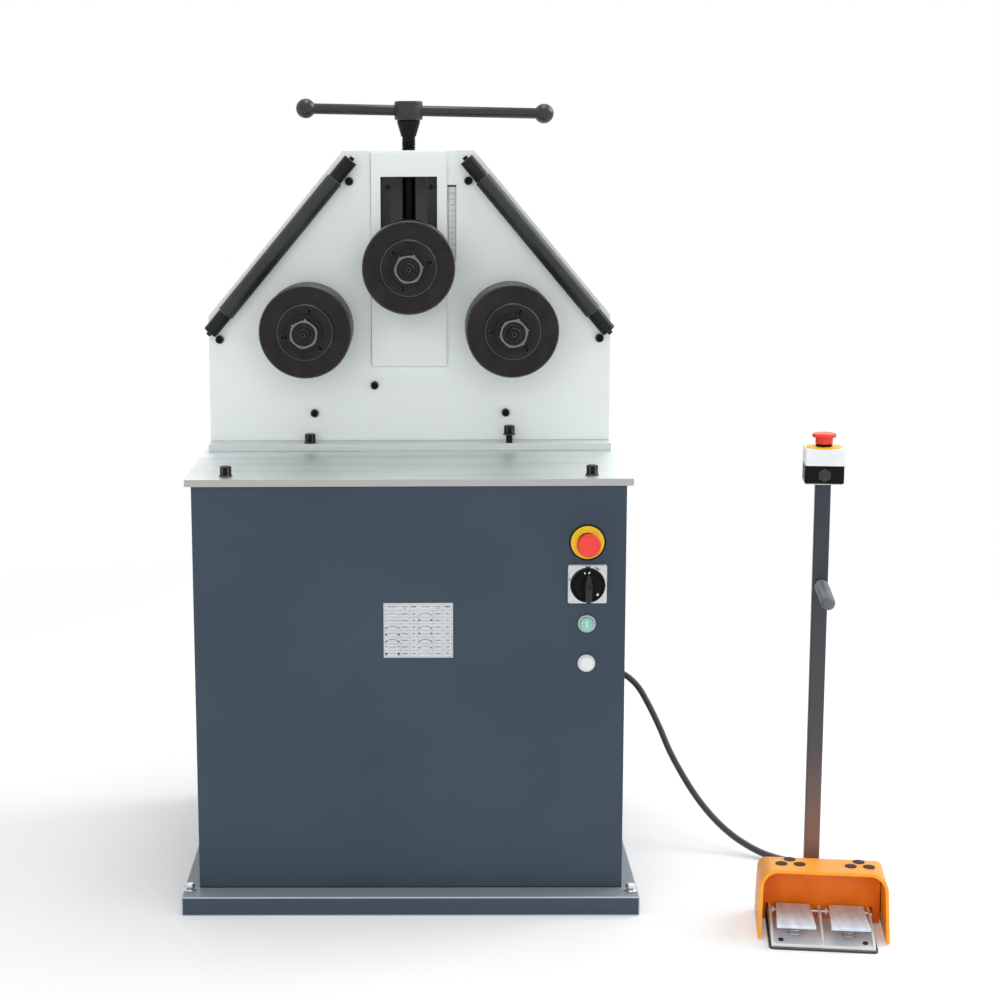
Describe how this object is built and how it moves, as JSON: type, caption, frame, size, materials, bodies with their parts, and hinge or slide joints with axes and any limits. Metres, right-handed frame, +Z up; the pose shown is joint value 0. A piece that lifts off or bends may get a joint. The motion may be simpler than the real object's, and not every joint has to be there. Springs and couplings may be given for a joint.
{
  "type": "ring roller",
  "caption": "Floor-standing ring and section roller: cabinet, upright head with bending rolls, lifting screw with T-handle, foot switch and stop button on a pole.",
  "frame": {"origin": "middle of the plinth's underside, on the floor", "axes": "+X to the operator's right, +Y from the operator towards the back, +Z up"},
  "size_m": [1.1729, 0.8549, 1.3598],
  "materials": {
    "slate_paint": "satin powder coat",
    "white_paint": "satin powder coat",
    "bare_steel": "ground and oiled",
    "black_steel": "black oxide",
    "cast_gear": "machined, oiled",
    "motor_paint": "satin enamel",
    "black_rubber": "matte",
    "black_plastic": "matte",
    "grey_plastic": "satin",
    "red_plastic": "semi-gloss",
    "yellow_plastic": "satin",
    "green_plastic": "semi-gloss",
    "orange_plastic": "satin moulded",
    "aluminium": "cast and brushed",
    "bright_steel": "bright plated"
  },
  "bodies": {
    "frame": {"base_tray": "slate_paint", "cabinet_shell": "slate_paint", "cabinet_rear_panel": "slate_paint", "table_plate": "bare_steel", "head_base_plate": "bare_steel", "head_front_plate": "white_paint", "head_housing": "white_paint", "head_rear_cover": "white_paint", "window_cover": "white_paint", "slide_guide_left": "black_steel", "slide_guide_right": "black_steel", "screw_bracket": "cast_gear", "left_bearing": "cast_gear", "right_bearing": "cast_gear", "gearmotor": "motor_paint", "side_rod_left": "black_steel", "side_rod_right": "black_steel", "estop_legend": "yellow_plastic", "isolator_plate": "grey_plastic", "start_bezel": "bright_steel", "signal_lamp": "grey_plastic", "foot_stand": "slate_paint", "foot_base": "aluminium", "foot_guard": "orange_plastic", "pedal_pin": "bright_steel", "pedal_spring_left": "bright_steel", "pedal_spring_right": "bright_steel", "pole_grip": "black_rubber", "station_box": "black_plastic", "station_cover": "grey_plastic", "conduit": "black_plastic", "cabinet_gland": "black_plastic", "foot_gland": "black_plastic"},
    "slide": {"slide_block": "black_steel"},
    "top_roll": {"top_shaft": "black_steel", "top_roll_front": "black_steel", "top_roll_rear": "black_steel", "top_roll_nut": "black_steel"},
    "screw": {"leadscrew": "black_steel", "handle_hub": "black_steel"},
    "handle": {"handle_bar": "black_steel"},
    "left_roll": {"left_shaft": "black_steel", "left_roll_front": "black_steel", "left_roll_rear": "black_steel", "left_roll_nut": "black_steel", "left_gear": "cast_gear"},
    "right_roll": {"right_shaft": "black_steel", "right_roll_front": "black_steel", "right_roll_rear": "black_steel", "right_roll_nut": "black_steel", "right_gear": "cast_gear"},
    "pinion": {"drive_pinion": "cast_gear"},
    "side_roller_left": {"side_roller_left": "black_steel"},
    "side_roller_right": {"side_roller_right": "black_steel"},
    "emergency_stop": {"estop_head": "red_plastic"},
    "isolator": {"isolator_knob": "black_plastic"},
    "start_button": {"start_cap": "green_plastic"},
    "left_pedal": {"pedal_left": "aluminium"},
    "right_pedal": {"pedal_right": "aluminium"},
    "station_stop": {"station_stop_head": "red_plastic"}
  },
  "joints": [
    {"name": "screw_turn", "type": "hinge", "parent": "slide", "child": "screw", "pos_m": [0, 0.088, 1.2], "axis": [0, 0, 1], "range_deg": [-1572, 6828]},
    {"name": "slide_travel", "type": "slide", "parent": "frame", "child": "slide", "axis": [0, 0, 1], "range_m": [-0.022, 0.095]},
    {"name": "top_roll_turn", "type": "hinge", "parent": "slide", "child": "top_roll", "pos_m": [0, 0, 1.0685], "axis": [0, 1, 0], "continuous": true},
    {"name": "handle_slide", "type": "slide", "parent": "screw", "child": "handle", "axis": [0.9997, 0, -0.0262], "range_m": [-0.195, 0.138]},
    {"name": "left_roll_turn", "type": "hinge", "parent": "frame", "child": "left_roll", "pos_m": [-0.1785, 0, 0.9595], "axis": [0, 1, 0], "continuous": true},
    {"name": "right_roll_turn", "type": "hinge", "parent": "frame", "child": "right_roll", "pos_m": [0.1785, 0, 0.9595], "axis": [0, 1, 0], "continuous": true},
    {"name": "pinion_turn", "type": "hinge", "parent": "frame", "child": "pinion", "pos_m": [0, 0.2, 0.88878], "axis": [0, 1, 0], "continuous": true},
    {"name": "side_roller_left_turn", "type": "hinge", "parent": "frame", "child": "side_roller_left", "pos_m": [-0.22808, 0.02, 1.10055], "axis": [0.6429, 0, 0.7659], "continuous": true},
    {"name": "side_roller_right_turn", "type": "hinge", "parent": "frame", "child": "side_roller_right", "pos_m": [0.22808, 0.02, 1.10055], "axis": [-0.6429, 0, 0.7659], "continuous": true},
    {"name": "emergency_stop_press", "type": "slide", "parent": "frame", "child": "emergency_stop", "axis": [0, 1, 0], "range_m": [0, 0.004], "stiffness_N_per_m": 1500, "springref_m": -0.002},
    {"name": "isolator_turn", "type": "hinge", "parent": "frame", "child": "isolator", "pos_m": [0.294, -0.31, 0.56], "axis": [0, 1, 0], "range_deg": [0, 90]},
    {"name": "start_press", "type": "slide", "parent": "frame", "child": "start_button", "axis": [0, 1, 0], "range_m": [0, 0.003], "stiffness_N_per_m": 600, "springref_m": -0.001},
    {"name": "left_pedal_press", "type": "hinge", "parent": "frame", "child": "left_pedal", "pos_m": [0.6313, -0.39154, 0.028], "axis": [0.9925, -0.1219, 0], "range_deg": [0, 6], "stiffness_Nm_per_rad": 18, "springref_deg": -1.72, "deforming": ["pedal_spring_left"]},
    {"name": "right_pedal_press", "type": "hinge", "parent": "frame", "child": "right_pedal", "pos_m": [0.71665, -0.40202, 0.028], "axis": [0.9925, -0.1219, 0], "range_deg": [0, 6], "stiffness_Nm_per_rad": 18, "springref_deg": -1.72, "deforming": ["pedal_spring_right"]},
    {"name": "station_stop_press", "type": "slide", "parent": "frame", "child": "station_stop", "axis": [0, 0, -1], "range_m": [0, 0.004], "stiffness_N_per_m": 1500, "springref_m": -0.002}
  ],
  "couplings": [
    {"joint": "slide_travel", "follows": "screw_turn", "m_per_rad": 0.00079577},
    {"joint": "right_roll_turn", "follows": "left_roll_turn", "ratio": 1},
    {"joint": "pinion_turn", "follows": "left_roll_turn", "ratio": -1.6667}
  ]
}
